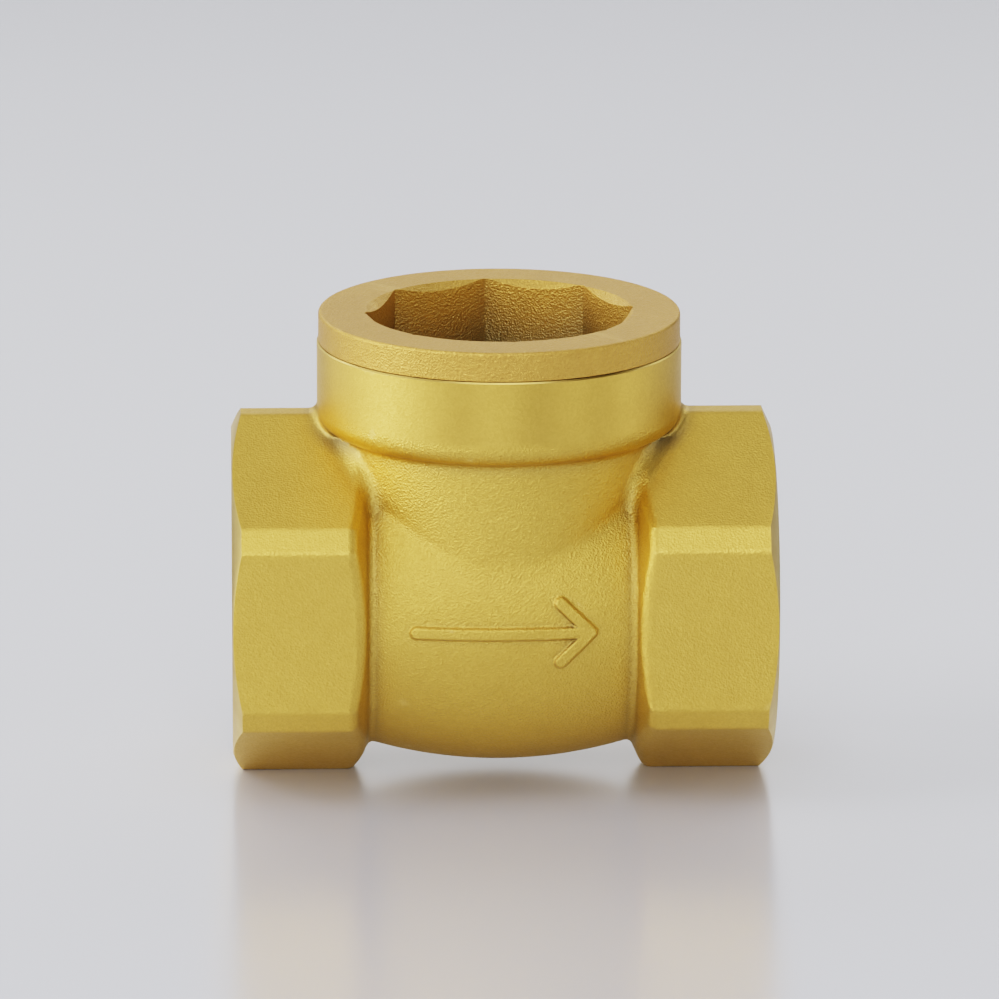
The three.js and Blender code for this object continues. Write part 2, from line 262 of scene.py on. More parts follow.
def surface_net(field, low, high, cell):
    """Vertices and quads of a field's surface: one vertex in each grid cell it crosses."""
    axes = [np.arange(a, b + cell, cell) for a, b in zip(low, high)]
    x, y, z = np.meshgrid(*axes, indexing="ij")
    inside = field(x, y, z) < 0
    corners = sum(
        inside[i:i - 1 or None, j:j - 1 or None, k:k - 1 or None].astype(int)
        for i in (0, 1) for j in (0, 1) for k in (0, 1))
    crossed = (corners > 0) & (corners < 8)
    index = np.full(crossed.shape, -1)
    index[crossed] = np.arange(crossed.sum())
    places = np.argwhere(crossed)
    points = np.stack([axes[i][places[:, i]] + cell / 2 for i in range(3)], axis=1)
    quads = []
    for axis in range(3):
        grid = np.moveaxis(inside, axis, 0)
        cells = np.moveaxis(index, axis, 0)
        leaving = grid[:-1, 1:-1, 1:-1] & ~grid[1:, 1:-1, 1:-1]
        entering = ~grid[:-1, 1:-1, 1:-1] & grid[1:, 1:-1, 1:-1]
        for mask, order in ((leaving, 1), (entering, -1)):
            i, j, k = np.nonzero(mask)
            around = [cells[i, j, k], cells[i, j + 1, k], cells[i, j + 1, k + 1], cells[i, j, k + 1]]
            turn = -order if axis == 1 else order
            quads.append(np.stack(around[::turn], axis=1))
    return points, np.concatenate(quads)


def relax(field, points, quads, rounds=6):
    """Evens out a surface net: each vertex moves towards its neighbours' middle, on the surface."""
    pull = 0.6
    count = len(points)
    edges = np.concatenate([quads[:, [i, (i + 1) % 4]] for i in range(4)])
    neighbours = np.bincount(edges[:, 0], minlength=count) + np.bincount(edges[:, 1], minlength=count)
    points = onto_surface(field, points)
    for _ in range(rounds):
        total = np.zeros_like(points)
        for axis in range(3):
            total[:, axis] = np.bincount(edges[:, 0], points[edges[:, 1], axis], minlength=count)
            total[:, axis] += np.bincount(edges[:, 1], points[edges[:, 0], axis], minlength=count)
        middle = total / neighbours[:, None]
        points = onto_surface(field, points + pull * (middle - points), rounds=1)
    return onto_surface(field, points)


# -------------------- meshes

def in_scene(name, data):
    """A new object of a mesh, a camera or a light."""
    made = bpy.data.objects.new(name, data)
    bpy.context.scene.collection.objects.link(made)
    return made


def make_object(name, points, faces, material):
    """A mesh object from points in millimetres."""
    mesh = bpy.data.meshes.new(name)
    faces = [list(map(int, face)) for face in faces]
    mesh.from_pydata((np.asarray(points, float) * MM).tolist(), [], faces)
    mesh.update()
    mesh.materials.append(material)
    return in_scene(name, mesh)


def implicit_piece(name, field, low, high, cell, material):
    """A mesh of a field's surface."""
    points, quads = surface_net(field, low, high, cell)
    return make_object(name, relax(field, points, quads), quads, material)


AXIS_ORDER = {"x": (0, 1, 2), "y": (2, 0, 1), "z": (1, 2, 0)}


def around_axis(axis, along, radius, angle):
    """Points at places along an axis, at a radius and an angle around it."""
    local = np.stack(np.broadcast_arrays(along, radius * np.cos(angle), radius * np.sin(angle)), -1)
    return local[..., AXIS_ORDER[axis]]


def lathe(name, outline, axis, material, steps=144, first_angle=0.0):
    """A closed solid of revolution.

    The outline lists (place along the axis, radius). It starts and ends on the axis, or it
    closes on itself. It may be a function of the angle that gives such a list, with a constant
    number of points.
    """
    on_axis = 1e-9
    angles = first_angle + np.arange(steps) * 2 * math.pi / steps
    outline_at = outline if callable(outline) else lambda angle: outline
    rings = np.array([outline_at(angle) for angle in angles], float)
    along, radius = rings[0].T
    if (along * np.roll(radius, -1) - np.roll(along, -1) * radius).sum() < 0:
        rings = rings[:, ::-1]
    points, rows = [], []
    for k in range(rings.shape[1]):
        start = len(points)
        along, radius = rings[:, k, 0], rings[:, k, 1]
        if radius.max() < on_axis:
            points.extend(around_axis(axis, along[:1], radius[:1], angles[:1]))
            rows.append([start] * steps)
        else:
            points.extend(around_axis(axis, along, radius, angles))
            rows.append(list(range(start, start + steps)))
    closes_on_itself = rings[0, 0, 1] > on_axis
    nexts = rows[1:] + rows[:1] if closes_on_itself else rows[1:]
    faces = []
    for near, far in zip(rows, nexts):
        for i in range(steps):
            j = (i + 1) % steps
            corners = dict.fromkeys([near[i], far[i], far[j], near[j]])
            if len(corners) > 2:
                faces.append(list(corners))
    return make_object(name, points, faces, material)


def rounded(outline, radii, steps=4):
    """An outline with some of its corners rounded. radii maps a corner's index to its radius."""
    most = 0.45  # the share of an edge that one rounding may take
    points = []
    count = len(outline)
    for i, corner in enumerate(outline):
        if i not in radii:
            points.append(corner)
            continue
        here = np.array(corner, float)
        before = np.array(outline[i - 1], float) - here
        after = np.array(outline[(i + 1) % count], float) - here
        reach_before, reach_after = np.linalg.norm(before), np.linalg.norm(after)
        before, after = before / reach_before, after / reach_after
        half = math.acos(np.clip(before @ after, -1, 1)) / 2
        setback = min(radii[i] / math.tan(half), most * reach_before, most * reach_after)
        for k in range(steps + 1):
            t = k / steps
            curve = (1 - t) ** 2 * (here + setback * before) + 2 * t * (1 - t) * here
            points.append(tuple(curve + t ** 2 * (here + setback * after)))
    return points


def refined(piece, field, near, cuts=2):
    """Divides the faces of an implicit piece near its fine details, and fits them again."""
    mesh = bmesh.new()
    mesh.from_mesh(piece.data)
    places = np.array([vertex.co for vertex in mesh.verts]) / MM
    chosen = near(*places.T)
    edges = [edge for edge in mesh.edges if all(chosen[vertex.index] for vertex in edge.verts)]
    bmesh.ops.subdivide_edges(mesh, edges=edges, cuts=cuts, use_grid_fill=True)
    fresh = mesh.verts[:][len(places):]
    fitted = onto_surface(field, np.array([vertex.co for vertex in fresh]) / MM)
    for vertex, place in zip(fresh, fitted):
        vertex.co = place * MM
    mesh.to_mesh(piece.data)
    mesh.free()
    return piece


def helix(name, axis, core, crest, start, length, pitch, material, steps):
    """A right-hand screw-thread solid, a turn longer than asked at both ends.

    The rows of its grid follow the helix, so that crests and roots are clean edges. profile
    lists (share of the pitch, share of the thread's depth).
    """
    profile = [(0.0, 0.0), (0.15, 0.0), (0.5, 1.0), (0.65, 1.0)]
    per_turn = len(profile)
    last = (math.ceil(length / pitch) + 2) * per_turn
    rows = np.arange(last + 1)
    share = np.array([profile[k % per_turn][0] for k in rows]) + rows // per_turn
    depth = np.array([profile[k % per_turn][1] for k in rows])
    turn = np.arange(steps)[:, None] / steps
    along = start + (share - 1 + turn) * pitch
    grid = around_axis(axis, along, core + depth * (crest - core), turn * 2 * math.pi)
    points = list(grid.reshape(-1, 3))
    index = np.arange(steps * (last + 1)).reshape(steps, last + 1)
    faces = []
    for i in range(steps):
        shift = 0 if i + 1 < steps else per_turn
        far = (i + 1) % steps
        row, next_row = index[i], index[far]
        for k in range(last - shift):
            faces.append([row[k], next_row[k + shift], next_row[k + shift + 1], row[k + 1]])
    low_rim = list(index[:, 0]) + list(index[0, per_turn:0:-1])
    high_rim = list(index[:, last]) + list(index[-1, last - 1:last - per_turn - 1:-1])
    for rim, order in ((low_rim, 1), (high_rim, -1)):
        middle = len(points)
        points.append(np.mean([points[k] for k in rim], axis=0))
        for a, b in zip(rim, rim[1:] + rim[:1]):
            faces.append([middle, b, a][::order])
    return make_object(name, points, faces, material)


def block(name, x, y, z, material):
    """A box between two values on each axis."""
    points = [(x[i], y[j], z[k]) for i in (0, 1) for j in (0, 1) for k in (0, 1)]
    faces = [(0, 1, 3, 2), (4, 6, 7, 5), (0, 4, 5, 1), (2, 3, 7, 6), (0, 2, 6, 4), (1, 5, 7, 3)]
    return make_object(name, points, faces, material)


def apply_modifiers(piece):
    """Replaces a piece's mesh by the mesh that its modifiers make."""
    graph = bpy.context.evaluated_depsgraph_get()
    mesh = bpy.data.meshes.new_from_object(piece.evaluated_get(graph))
    old = piece.data
    piece.modifiers.clear()
    piece.data = mesh
    bpy.data.meshes.remove(old)
    return piece


def boolean(piece, other, operation):
    """Cuts or joins two solids. The second one is used up."""
    modifier = piece.modifiers.new("boolean", "BOOLEAN")
    modifier.operation = operation
    modifier.solver = "MANIFOLD"
    modifier.material_mode = "TRANSFER"
    modifier.object = other
    apply_modifiers(piece)
    mesh = other.data
    bpy.data.objects.remove(other)
    bpy.data.meshes.remove(mesh)
    return piece


def moved(piece, x, z=0.0):
    piece.data.transform(Matrix.Translation(Vector((x, 0, z)) * MM))
    return piece


def turned(piece, degrees, axis):
    piece.data.transform(Matrix.Rotation(math.radians(degrees), 4, axis.upper()))
    return piece


def shade(piece, angle=32):
    """Smooth shading, with a sharp edge wherever two faces meet at more than the angle.

    Normals are weighted by area, so that a flat face stays flat up to its rounded edge.
    """
    mesh = piece.data
    mesh.polygons.foreach_set("use_smooth", np.ones(len(mesh.polygons), bool))
    mesh.set_sharp_from_angle(angle=math.radians(angle))
    modifier = piece.modifiers.new("weighted", "WEIGHTED_NORMAL")
    modifier.keep_sharp = True
    return apply_modifiers(piece)


def attribute(items, name, kind, width=1):
    """One attribute of all the vertices, corners or faces of a mesh, a row for each."""
    values = np.zeros(len(items) * width, kind)
    items.foreach_get(name, values)
    return values.reshape(-1, width) if width > 1 else values


def shade_from_field(piece, field, material):
    """Gives the faces of one material the exact normals of the field that they came from."""
    mesh = piece.data
    slots = attribute(mesh.polygons, "material_index", np.int32)
    corners = attribute(mesh.polygons, "loop_total", np.int32)
    on_skin = np.repeat(slots == mesh.materials.find(material.name), corners)
    vertices = attribute(mesh.loops, "vertex_index", np.int32)[on_skin]
    points = attribute(mesh.vertices, "co", np.float32, 3).astype(float) / MM
    normals = attribute(mesh.corner_normals, "vector", np.float32, 3)
    normals[on_skin] = unit(gradient(field, points))[vertices]
    mesh.normals_split_custom_set(normals.tolist())
    return piece


def trimmed_thread(name, axis, core, crest, start, length, pitch, envelope, material, steps=96):
    """A thread cut to an envelope, which is an outline around the same axis."""
    thread = helix(name, axis, core - ROOT_OVERLAP, crest, start, length, pitch, material, steps)
    return boolean(thread, lathe(name + "_end", envelope, axis, material, steps), "INTERSECT")


# -------------------- valve body

PORT_DEPTH = 14.0
G1_MAJOR = 16.62
G1_MINOR = 15.15
G1_PITCH = 2.309
PORT_MOUTH = 17.2
INLET_BORE = 11.5
OUTLET_BORE = 12.5
SEAT_X = -13.5
SEAT_OUTER = 13.2
SEAT_HEIGHT = 1.2
CAVITY_END = 14.2
THROAT_X = 15.6
ACCESS_BORE = 16.6
LEDGE_Z = 22.3
NECK_THREAD_MAJOR = 19.55
NECK_THREAD_MINOR = 18.72
NECK_PITCH = 1.5
THREAD_START = SKIRT_BOTTOM  # the cap's thread and the neck's begin together, so they mesh
ROOT_OVERLAP = 0.05  # how far a thread's root lies inside what it joins
CREST_MARGIN = 0.2  # how far an envelope stays clear of the crests it doesn't trim


def trimming(machined):
    """Two envelopes that leave the end faces, their chamfers and the top of the neck."""
    reach = 60
    cone = HALF_LENGTH - (reach - END_FACE_RADIUS) / END_CHAMFER_SLOPE
    ends = lathe("ends", [
        (-HALF_LENGTH, 0), (-HALF_LENGTH, END_FACE_RADIUS), (-cone, reach),
        (cone, reach), (HALF_LENGTH, END_FACE_RADIUS), (HALF_LENGTH, 0),
    ], "x", machined, steps=240)
    edge = NECK_TOP - NECK_CHAMFER
    neck = lathe("neck_end", [
        (-reach, 0), (-reach, reach), (edge, reach), (edge, NECK_RADIUS),
        (NECK_TOP, NECK_RADIUS - NECK_CHAMFER), (NECK_TOP, 0),
    ], "z", machined, steps=240)
    return ends, moved(neck, x=FORGING_X)


def port_tool(bore, inner, machined):
    """The space of one port, on the outlet side: waterway, threaded hole and mouth."""
    bottom = HALF_LENGTH - PORT_DEPTH
    mouth = HALF_LENGTH - (PORT_MOUTH - G1_MINOR)
    chamfer = 0.8
    groove_depth, groove_end = 0.5, bottom + 1.6
    outline = [
        (inner, 0), (inner, bore), (bottom - chamfer, bore), (bottom, bore + chamfer),
        (bottom, G1_MINOR + groove_depth), (groove_end, G1_MINOR + groove_depth),
        (groove_end + groove_depth, G1_MINOR), (mouth, G1_MINOR),
        (HALF_LENGTH + PAST, PORT_MOUTH + PAST), (HALF_LENGTH + PAST, 0),
    ]
    tool = lathe("port", rounded(outline, {4: 0.4}), "x", machined)
    runout_start, runout_end = bottom + 0.6, bottom + 2.6
    clear, end = G1_MAJOR + 0.1, HALF_LENGTH + 0.5
    envelope = [
        (runout_start, 0), (runout_start, G1_MINOR - 0.1), (runout_end, clear), (end, clear), (end, 0)]
    thread = trimmed_thread(
        "port_thread", "x", G1_MINOR, G1_MAJOR, bottom, PORT_DEPTH, G1_PITCH, envelope, machined)
    return boolean(tool, thread, "UNION")


def cavity_tool(machined):
    """The space the clapper swings in, around the flow axis, with the seat as a low ring."""
    wall_x = SEAT_X - SEAT_HEIGHT
    outline = [(SEAT_X, 0), (SEAT_X, SEAT_OUTER), (wall_x, SEAT_OUTER)]
    outline += [(x, barrel_radius(x) - WALL) for x in np.linspace(wall_x, CAVITY_END, 25)]
    wall_end = len(outline) - 1
    outline += [(THROAT_X, OUTLET_BORE), (THROAT_X, 0)]
    radii = {1: 0.25, 2: 0.4, 3: 0.8, wall_end: 1.2, wall_end + 1: 0.6}
    return lathe("cavity", rounded(outline, radii), "x", machined)


def access_tool(machined):
    """The space above the cavity: access bore, hinge pin slots, ledge and threaded neck."""
    wall_x = SEAT_X - SEAT_HEIGHT
    chamfer, over = 0.5, 0.6
    bore = lathe("access", [
        (0, 0), (0, ACCESS_BORE), (LEDGE_Z - chamfer, ACCESS_BORE),
        (LEDGE_Z + over, ACCESS_BORE + chamfer + over), (LEDGE_Z + over, 0),
    ], "z", machined)
    moved(bore, x=FORGING_X)
    reach = ACCESS_BORE + 2
    clip = block("clip", (wall_x, reach), (-reach, reach), (-1, LEDGE_Z + 2), machined)
    boolean(bore, clip, "INTERSECT")
    mouth = 0.9
    groove_end, groove_slope = LEDGE_Z + 1.2, 0.6
    neck_outline = [
        (LEDGE_Z, 0), (LEDGE_Z, NECK_THREAD_MAJOR), (groove_end, NECK_THREAD_MAJOR),
        (groove_end + groove_slope, NECK_THREAD_MINOR), (NECK_TOP - mouth, NECK_THREAD_MINOR),
        (NECK_TOP + PAST, NECK_THREAD_MINOR + mouth + PAST), (NECK_TOP + PAST, 0),
    ]
    neck = lathe("neck_bore", rounded(neck_outline, {1: 0.3}), "z", machined)
    start, end, clear = LEDGE_Z + 0.8, NECK_TOP + 0.5, NECK_THREAD_MAJOR + CREST_MARGIN
    envelope = [(start, 0), (start, clear), (end, clear), (end, 0)]
    thread = trimmed_thread(
        "neck_thread", "z", NECK_THREAD_MINOR, NECK_THREAD_MAJOR,
        THREAD_START, NECK_TOP - LEDGE_Z, NECK_PITCH, envelope, machined)
    moved(boolean(neck, thread, "UNION"), x=FORGING_X)
    radius, end = PIN_RADIUS + PIN_CLEARANCE, pin_high.y + PIN_END_CLEARANCE
    slot = lathe("slot", [(-end, 0), (-end, radius), (end, radius), (end, 0)], "y", machined, steps=48)
    moved(slot, x=HINGE.x, z=HINGE.z)
    opening = block("slot_top", (HINGE.x - radius, HINGE.x + radius), (-end, end),
                    (HINGE.z, LEDGE_Z + PAST), machined)
    for part in (bore, slot, opening):
        boolean(neck, part, "UNION")
    return neck


def valve_body(forged, machined):
    """The forging, machined all through. Its forged skin keeps the field's exact normals."""
    low = (-HALF_LENGTH - 2, -NECK_RADIUS - 1, -CORNER_FLAT - 1)
    high = (HALF_LENGTH + 2, NECK_RADIUS + 1, NECK_TOP + 2)
    body = implicit_piece("forged_body", forging_field, low, high, FORGING_CELL, forged)
    refined(body, forging_field, near_arrow)
    for envelope in trimming(machined):
        boolean(body, envelope, "INTERSECT")
    boolean(body, port_tool(OUTLET_BORE, CAVITY_END, machined), "DIFFERENCE")
    boolean(body, turned(port_tool(INLET_BORE, -SEAT_X - PAST, machined), 180, "z"), "DIFFERENCE")
    boolean(body, cavity_tool(machined), "DIFFERENCE")
    boolean(body, access_tool(machined), "DIFFERENCE")
    shade(body)
    return shade_from_field(body, forging_field, forged)


# -------------------- cap and gasket

SOCKET_HALF_FLATS = 15.3
SOCKET_TURN = math.radians(4.3)
SOCKET_FLOOR = 26.4
SOCKET_RIM = 16.3  # radius of the countersink at the top, just inside the corners
SOCKET_CHAMFER = 0.8
UNDERSIDE_Z = 24.2
UNDERSIDE_RADIUS = 15.5
CAP_EDGE = 0.45
LIP_BOTTOM = NECK_TOP + 0.09  # the flange's lip hangs around the gasket, just above the neck
LIP_RADIUS = GASKET_RADIUS + 0.08
CAP_THREAD_MAJOR = NECK_THREAD_MAJOR - 0.1
CAP_THREAD_MINOR = NECK_THREAD_MINOR - 0.22
GASKET_BORE = 19.9
GASKET_EDGE = 0.08


def cap_piece(blasted, machined):
    """The screwed cap: flange, octagonal key socket with a countersunk rim, threaded skirt."""
    eighth = math.pi / 4
    lead = 0.5
    apart = 0.05  # keeps the countersink's edges apart in the octagon's corners

    def outline_at(angle):
        from_facet = (angle - SOCKET_TURN) % eighth - eighth / 2
        wall = SOCKET_HALF_FLATS / math.cos(from_facet)
        rim = max(SOCKET_RIM, wall)
        depth = SOCKET_CHAMFER * (rim - wall) / (SOCKET_RIM - SOCKET_HALF_FLATS)
        outline = [
            (UNDERSIDE_Z, 0), (UNDERSIDE_Z, UNDERSIDE_RADIUS), (SKIRT_BOTTOM, UNDERSIDE_RADIUS),
            (SKIRT_BOTTOM, CAP_THREAD_MINOR - lead), (SKIRT_BOTTOM + lead, CAP_THREAD_MINOR),
            (FLANGE_BOTTOM, CAP_THREAD_MINOR), (FLANGE_BOTTOM, LIP_RADIUS),
            (LIP_BOTTOM, LIP_RADIUS), (LIP_BOTTOM, FLANGE_RADIUS),
            (CAP_TOP, FLANGE_RADIUS), (CAP_TOP, rim + apart), (CAP_TOP - depth - apart, wall),
            (SOCKET_FLOOR, wall), (SOCKET_FLOOR, 0),
        ]
        radii = {1: 0.5, 2: 0.3, 8: 0.06, 9: CAP_EDGE, 10: 0.1, 11: 0.1, 12: 0.8}
        return rounded(outline, radii, steps=5)

    cap = lathe("threaded_cap", outline_at, "z", blasted, steps=192, first_angle=SOCKET_TURN)
    within_wall, clear = 17.0, CAP_THREAD_MAJOR + CREST_MARGIN
    start, full = SKIRT_BOTTOM + 0.2, SKIRT_BOTTOM + 1.4
    runout, end = FLANGE_BOTTOM - 1.8, FLANGE_BOTTOM - 0.9
    envelope = [
        (start, within_wall), (start, CAP_THREAD_MINOR - 0.3), (full, clear),
        (runout, clear), (end, CAP_THREAD_MINOR - 0.2), (end, within_wall)]
    thread = trimmed_thread(
        "cap_thread", "z", CAP_THREAD_MINOR, CAP_THREAD_MAJOR,
        THREAD_START, FLANGE_BOTTOM - SKIRT_BOTTOM, NECK_PITCH, envelope, machined)
    return shade(moved(boolean(cap, thread, "UNION"), x=FORGING_X))


def gasket_piece(fibre):
    low, high = gasket_low.z, gasket_high.z
    outline = [(low, GASKET_BORE), (low, GASKET_RADIUS), (high, GASKET_RADIUS), (high, GASKET_BORE)]
    outline = rounded(outline, {1: GASKET_EDGE, 2: GASKET_EDGE})
    return shade(moved(lathe("flat_gasket", outline, "z", fibre, steps=192), x=FORGING_X))


# -------------------- hinge

HUB_RADIUS = 3.2
EYE_RADIUS = 6.4
STUD_RADIUS = 3.0
STUD_CLEARANCE = 0.3
ARM_FRONT = -8.5
ARM_BACK = arm_high.x
ARM_BEND_Z = 13.6
ARM_HALF_WIDTH = 5.3  # at the eye
ARM_WIDENING = 2.2  # more on each side at the hub
ARM_CELL = 0.35


def hinge_pin(steel):
    half, edge = pin_high.y, 0.35
    outline = [(-half, 0), (-half, PIN_RADIUS - edge), (-half + edge, PIN_RADIUS),
               (half - edge, PIN_RADIUS), (half, PIN_RADIUS - edge), (half, 0)]
    pin = lathe("round_pin", rounded(outline, {1: 0.1, 2: 0.15, 3: 0.15, 4: 0.1}), "y", steel, steps=64)
    return shade(moved(pin, x=HINGE.x, z=HINGE.z))


def arm_field(x, y, z):
    """The cast arm: a hub on the pin and a strap that widens up to it from an eye on the stud."""
    middle = (ARM_FRONT + ARM_BACK) / 2
    half_thickness = (ARM_BACK - ARM_FRONT) / 2
    bend = (middle, ARM_BEND_Z)
    strap = segment_distance(x, z, (middle, -EYE_RADIUS - 2), bend)
    strap = np.minimum(strap, segment_distance(x, z, bend, (HINGE.x + 1.0, HINGE.z - 1.2)))
    widens_from, widens_over = 3, 13
    half_width = ARM_HALF_WIDTH + ARM_WIDENING * np.clip((z - widens_from) / widens_over, 0, 1)
    sides = np.maximum(np.abs(y) - half_width, -z)
    outline = round_union(sides, np.hypot(y, z) - EYE_RADIUS, 2.5)
    strap = round_intersection(strap - half_thickness, outline, 0.9)
    hub = round_intersection(
        np.hypot(x - HINGE.x, z - HINGE.z) - HUB_RADIUS, np.abs(y) - arm_high.y - 0.2, 0.5)
    return round_union(strap, hub, 1.4)


def chamfered_bore(name, start, end, radius, axis, material, steps):
    """The space of a through hole with a chamfer at both ends."""
    edge = 0.4
    mouth = radius + edge + PAST
    return lathe(name, [
        (start - PAST, 0), (start - PAST, mouth), (start + edge, radius), (end - edge, radius),
        (end + PAST, mouth), (end + PAST, 0),
    ], axis, material, steps)


def hinge_arm(cast, machined):
    margin = Vector((2, 2, 2))
    arm = implicit_piece("cast_arm", arm_field, arm_low - margin, arm_high + margin, ARM_CELL, cast)
    width = arm_high.y
    reach = 40
    sides = block("arm_width", (-reach, reach), (-width, width), (-reach, reach), machined)
    boolean(arm, sides, "INTERSECT")
    pin_bore = chamfered_bore("pin_bore", -width, width, PIN_RADIUS + PIN_CLEARANCE, "y", machined, 64)
    boolean(arm, moved(pin_bore, x=HINGE.x, z=HINGE.z), "DIFFERENCE")
    eye = STUD_RADIUS + STUD_CLEARANCE
    boolean(arm, chamfered_bore("eye_bore", ARM_FRONT, ARM_BACK, eye, "x", machined, 96), "DIFFERENCE")
    shade(arm)
    return shade_from_field(arm, arm_field, cast)


# -------------------- clapper

DISC_RADIUS = disc_high.y
DISC_FRONT = disc_low.x
DISC_BACK = -9.4
BOSS_RADIUS = 5.0
BOSS_X = -8.7
RECESS_RADIUS = 13.0
RECESS_X = -11.2
STUD_PITCH = 1.0
SPLIT_PIN_X = -0.35
SPLIT_PIN_RADIUS = 0.5
SCREW_RADIUS = 1.7
SCREW_PITCH = 0.6
HOLE_CLEARANCE = 0.1


def male_thread(name, major, minor, start, end, pitch, material):
    """A screw thread along X, with a chamfered start at its far end."""
    clear = major + CREST_MARGIN
    full = end - (major - minor + CREST_MARGIN)
    envelope = [(start, 0), (start, clear), (full, clear), (end, minor - CREST_MARGIN), (end, 0)]
    return trimmed_thread(name, "x", minor, major, start, end - start, pitch, envelope, material, 72)


def disc_piece(machined):
    """The clapper disc: a shallow recess for the seal, a boss, and a stud with its thread."""
    core, shank = STUD_RADIUS - 0.5, STUD_RADIUS - 0.05
    shank_end, core_start, core_end = ARM_BACK - 0.3, ARM_BACK + 0.2, disc_high.x - 0.5
    outline = [
        (RECESS_X, 0), (RECESS_X, RECESS_RADIUS), (DISC_FRONT, RECESS_RADIUS),
        (DISC_FRONT, DISC_RADIUS), (DISC_BACK, DISC_RADIUS), (DISC_BACK, BOSS_RADIUS),
        (BOSS_X, BOSS_RADIUS), (BOSS_X, shank), (shank_end, shank), (core_start, core),
        (core_end, core), (core_end, 0),
    ]
    radii = {1: 0.2, 2: 0.1, 3: 0.25, 4: 0.6, 5: 0.3, 6: 0.2, 7: 0.2}
    disc = lathe("clapper_disc", rounded(outline, radii), "x", machined, steps=192)
    thread_start = ARM_BACK + 0.4
    boolean(disc, male_thread("stud_thread", STUD_RADIUS, core, thread_start, disc_high.x,
                              STUD_PITCH, machined), "UNION")
    hole, chamfer = SCREW_RADIUS + HOLE_CLEARANCE, 0.2
    hole_end, drill_tip = ARM_FRONT + 1.5, ARM_FRONT + 2.4
    screw_hole = lathe("screw_hole", [
        (RECESS_X - PAST, 0), (RECESS_X - PAST, hole + chamfer + PAST), (RECESS_X + chamfer, hole),
        (hole_end, hole), (drill_tip, 0),
    ], "x", machined, steps=48)
    boolean(disc, screw_hole, "DIFFERENCE")
    hole, reach = SPLIT_PIN_RADIUS + HOLE_CLEARANCE, STUD_RADIUS + PAST
    pin_hole = lathe("pin_hole", [(-reach, 0), (-reach, hole), (reach, hole), (reach, 0)],
                     "z", machined, steps=48)
    boolean(disc, moved(pin_hole, x=SPLIT_PIN_X), "DIFFERENCE")
    return shade(disc)


def seal_piece(rubber):
    """A moulded face seal, with a shallow groove where the retainer's edge bites."""
    front, back = seal_low.x, seal_high.x
    inner, outer = 4.1, seal_high.y
    groove_start, floor_start, floor_end, groove_end = 8.3, 8.5, 8.8, 9.1
    floor = front + 0.12
    outline = [(back, inner), (front, inner), (front, groove_start), (floor, floor_start),
               (floor, floor_end), (front, groove_end), (front, outer), (back, outer)]
    radii = {0: 0.2, 1: 0.2, 3: 0.1, 4: 0.1, 5: 0.2, 6: 0.5, 7: 0.25}
    return shade(lathe("face_seal", rounded(outline, radii), "x", rubber, steps=144), angle=50)


def plain_ring(name, low, high, inner, edge, material):
    """A turned or stamped ring along X with softened edges, between its CAD node's corners."""
    front, back, outer = low.x, high.x, high.y
    outline = [(front, inner), (front, outer), (back, outer), (back, inner)]
    return shade(lathe(name, rounded(outline, dict.fromkeys(range(4), edge)), "x", material, steps=96))


def seal_retainer(machined):
    bore, edge = 1.8, 0.2
    return plain_ring("retainer_plate", retainer_low, retainer_high, bore, edge, machined)


def disc_washer(steel):
    bore, edge = 3.1, 0.12
    return plain_ring("flat_washer", washer_low, washer_high, bore, edge, steel)


def retainer_screw(steel):
    """A pan-head screw with a slot, its head just clear of the retainer."""
    head_front, head_back, head_radius = screw_low.x, retainer_low.x - 0.05, screw_high.y
    core, core_end = SCREW_RADIUS - 0.3, screw_high.x - 0.3
    thread_start = head_back + 0.6
    outline = [(head_front, 0), (head_front, head_radius), (head_back, head_radius),
               (head_back, core), (core_end, core), (core_end, 0)]
    screw = lathe("pan_head_screw", rounded(outline, {1: 0.7, 2: 0.1, 3: 0.2}), "x", steel, steps=96)
    boolean(screw, male_thread("screw_thread", SCREW_RADIUS, core, thread_start, screw_high.x,
                               SCREW_PITCH, steel), "UNION")
    depth, half_width, reach = 0.8, 0.45, 4
    slot = block("slot", (head_front - PAST, head_front + depth), (-reach, reach),
                 (-half_width, half_width), steel)
    return shade(boolean(screw, slot, "DIFFERENCE"))


def disc_nut(machined):
    """A hexagon nut with the curved chamfer of its corners on both sides."""
    front, back = nut_low.x, nut_high.x
    half_flats, corner = nut_high.z, nut_high.y
    sixth = math.pi / 3
    bore, chamfer = STUD_RADIUS + 0.05, 0.4
    slope, least_drop = 0.58, 0.12
    face = half_flats - 0.2

    def outline_at(angle):
        wall = min(half_flats / math.cos(angle % sixth - sixth / 2), corner)
        drop = slope * (wall - half_flats) + least_drop
        return [(front, bore + chamfer), (front, face), (front + drop, wall), (back - drop, wall),
                (back, face), (back, bore + chamfer), (back - chamfer, bore), (front + chamfer, bore)]

    return shade(lathe("hexagon_nut", outline_at, "x", machined, steps=144), angle=25)


def smoothed(path):
    """Cuts the corners off an open path, again and again."""
    path = np.array(path, float)
    for _ in range(3):
        near = 0.75 * path[:-1] + 0.25 * path[1:]
        far = 0.25 * path[:-1] + 0.75 * path[1:]
        between = np.stack([near, far], axis=1).reshape(-1, 2)
        path = np.concatenate([path[:1], between, path[-1:]])
    return path


